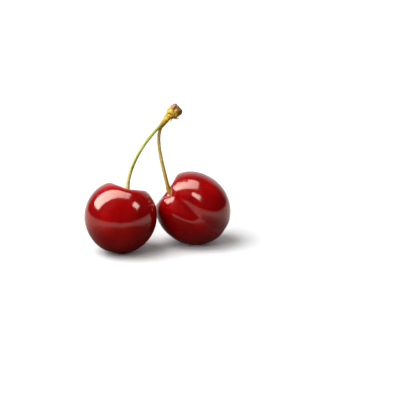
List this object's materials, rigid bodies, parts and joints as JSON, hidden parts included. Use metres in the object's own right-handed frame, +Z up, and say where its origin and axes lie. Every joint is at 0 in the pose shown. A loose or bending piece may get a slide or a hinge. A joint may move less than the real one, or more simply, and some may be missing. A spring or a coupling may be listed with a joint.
{
  "type": "pair of cherries on stalks",
  "caption": "Pair of sweet cherries standing on their fruit, with thin curved stalks that meet in a short woody spur ringed by bud scales.",
  "frame": {"origin": "on the surface that the fruits rest on, under the middle of the pair's box", "axes": "+X from the left cherry towards the right one, +Y to the back, away from the side on which both sutures show, +Z up"},
  "size_m": [0.0542, 0.0348, 0.0539],
  "materials": {
    "cherry_skin": "glossy fruit skin",
    "stalk_green": "satin green stalk",
    "spur_bark": "matt young bark",
    "scale_brown": "matt dry scale",
    "bract_green": "matt leaf"
  },
  "bodies": {
    "root": {"left_cherry": "cherry_skin", "right_cherry": "cherry_skin", "left_stalk": "stalk_green", "right_stalk": "stalk_green", "spur": "spur_bark", "bud_scale_1": "scale_brown", "bud_scale_2": "scale_brown", "bud_scale_3": "scale_brown", "bud_scale_4": "scale_brown", "bud_scale_5": "scale_brown", "bract": "bract_green"}
  },
  "joints": []
}
